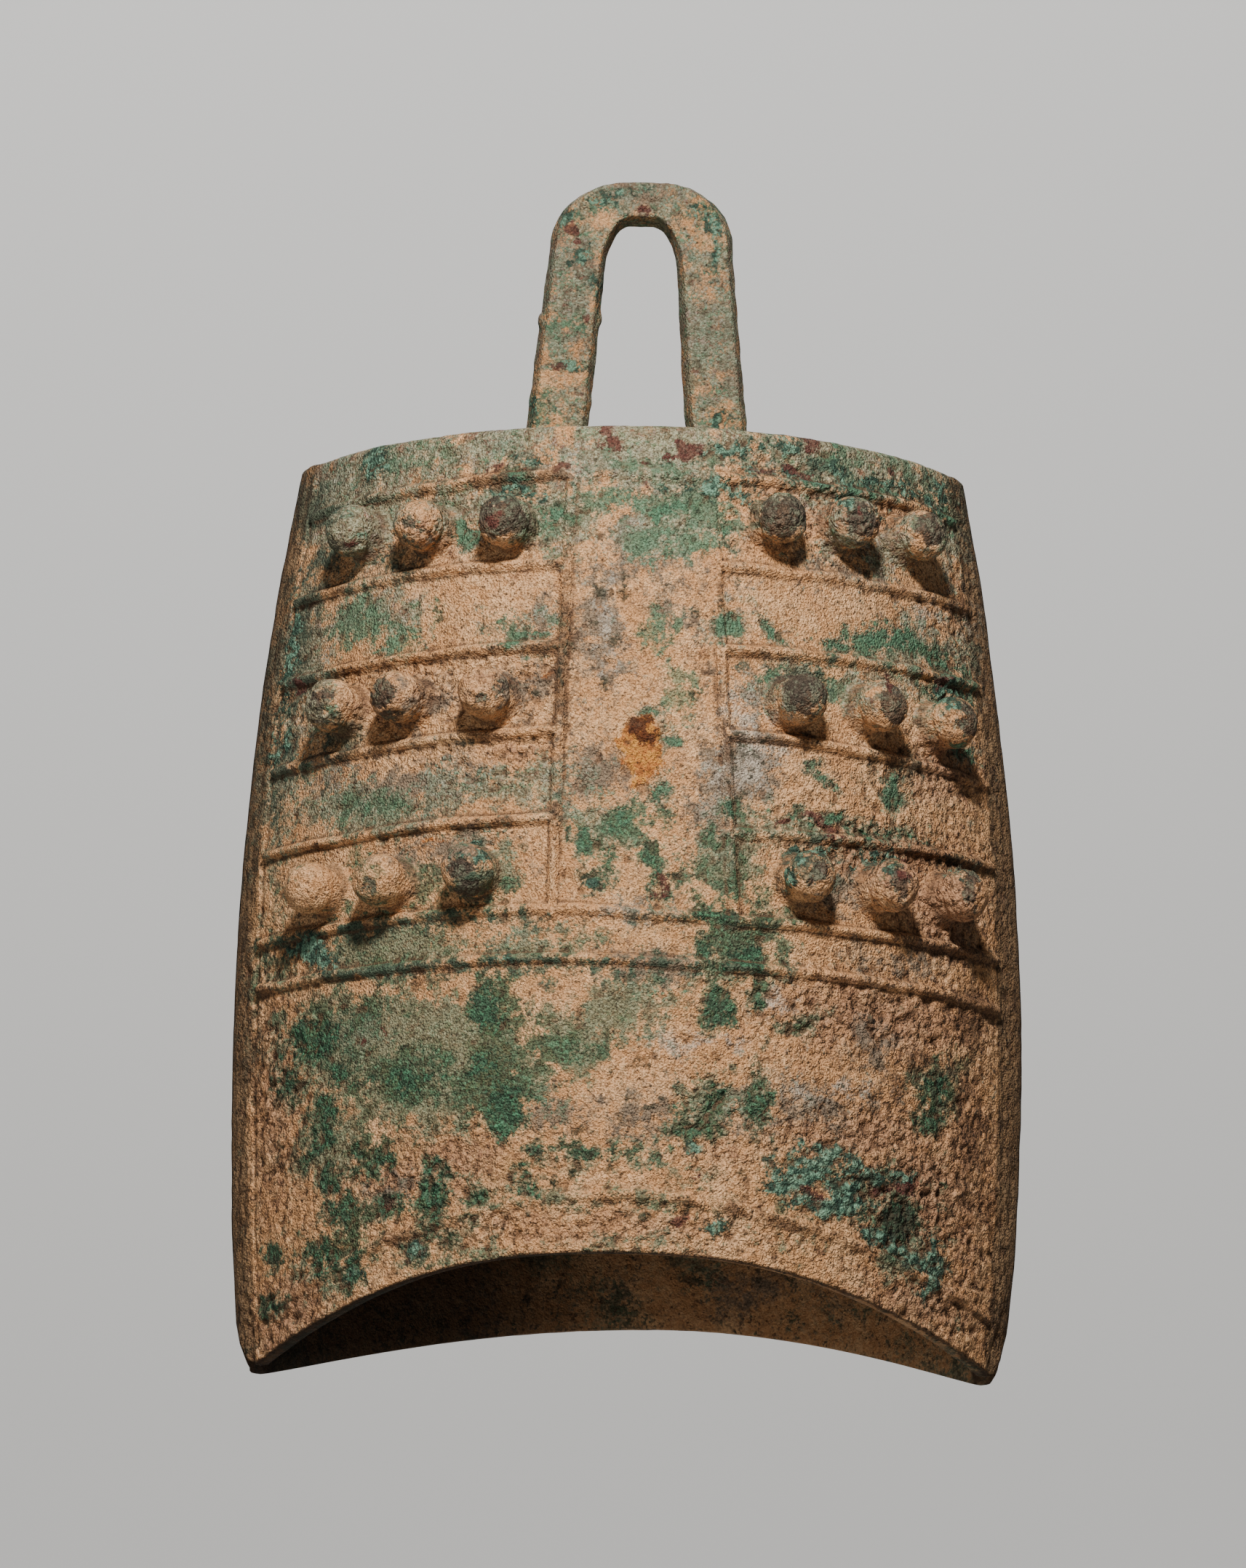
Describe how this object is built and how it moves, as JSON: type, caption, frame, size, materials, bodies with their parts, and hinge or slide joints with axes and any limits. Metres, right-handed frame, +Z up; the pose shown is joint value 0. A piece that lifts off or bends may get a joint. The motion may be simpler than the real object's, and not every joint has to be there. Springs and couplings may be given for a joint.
{
  "type": "bell",
  "caption": "Ancient bronze loop bell, almond in section, with domed bosses and raised cords on both faces, an arched mouth and a tall hanging loop; struck from outside, with no clapper.",
  "frame": {"origin": "top of the hanging loop's hole, where the hook bears", "axes": "+Z up through the loop, +X towards the right of the front face as seen from outside, -Y out of the front face"},
  "size_m": [0.19, 0.1468, 0.2931],
  "materials": {
    "wall_bronze": "cast bronze under tan earth crust with green patina",
    "crown_bronze": "cast bronze with grey-green patina",
    "loop_bronze": "cast bronze with mottled olive and tan patina",
    "boss_bronze": "cast bronze, dark brown under tan crust",
    "cord_bronze": "cast bronze under tan earth crust"
  },
  "bodies": {
    "root": {"bell_wall": "wall_bronze", "crown_plate": "crown_bronze", "suspension_loop": "loop_bronze", "top_cord_front": "cord_bronze", "border_cords_front": "cord_bronze", "panel_cords_front_left": "cord_bronze", "boss_front_left_row1_1": "boss_bronze", "boss_front_left_row1_2": "boss_bronze", "boss_front_left_row1_3": "boss_bronze", "boss_front_left_row2_1": "boss_bronze", "boss_front_left_row2_2": "boss_bronze", "boss_front_left_row2_3": "boss_bronze", "boss_front_left_row3_1": "boss_bronze", "boss_front_left_row3_2": "boss_bronze", "boss_front_left_row3_3": "boss_bronze", "panel_cords_front_right": "cord_bronze", "boss_front_right_row1_1": "boss_bronze", "boss_front_right_row1_2": "boss_bronze", "boss_front_right_row1_3": "boss_bronze", "boss_front_right_row2_1": "boss_bronze", "boss_front_right_row2_2": "boss_bronze", "boss_front_right_row2_3": "boss_bronze", "boss_front_right_row3_1": "boss_bronze", "boss_front_right_row3_2": "boss_bronze", "boss_front_right_row3_3": "boss_bronze", "top_cord_back": "cord_bronze", "border_cords_back": "cord_bronze", "panel_cords_back_left": "cord_bronze", "boss_back_left_row1_1": "boss_bronze", "boss_back_left_row1_2": "boss_bronze", "boss_back_left_row1_3": "boss_bronze", "boss_back_left_row2_1": "boss_bronze", "boss_back_left_row2_2": "boss_bronze", "boss_back_left_row2_3": "boss_bronze", "boss_back_left_row3_1": "boss_bronze", "boss_back_left_row3_2": "boss_bronze", "boss_back_left_row3_3": "boss_bronze", "panel_cords_back_right": "cord_bronze", "boss_back_right_row1_1": "boss_bronze", "boss_back_right_row1_2": "boss_bronze", "boss_back_right_row1_3": "boss_bronze", "boss_back_right_row2_1": "boss_bronze", "boss_back_right_row2_2": "boss_bronze", "boss_back_right_row2_3": "boss_bronze", "boss_back_right_row3_1": "boss_bronze", "boss_back_right_row3_2": "boss_bronze", "boss_back_right_row3_3": "boss_bronze"}
  },
  "joints": []
}
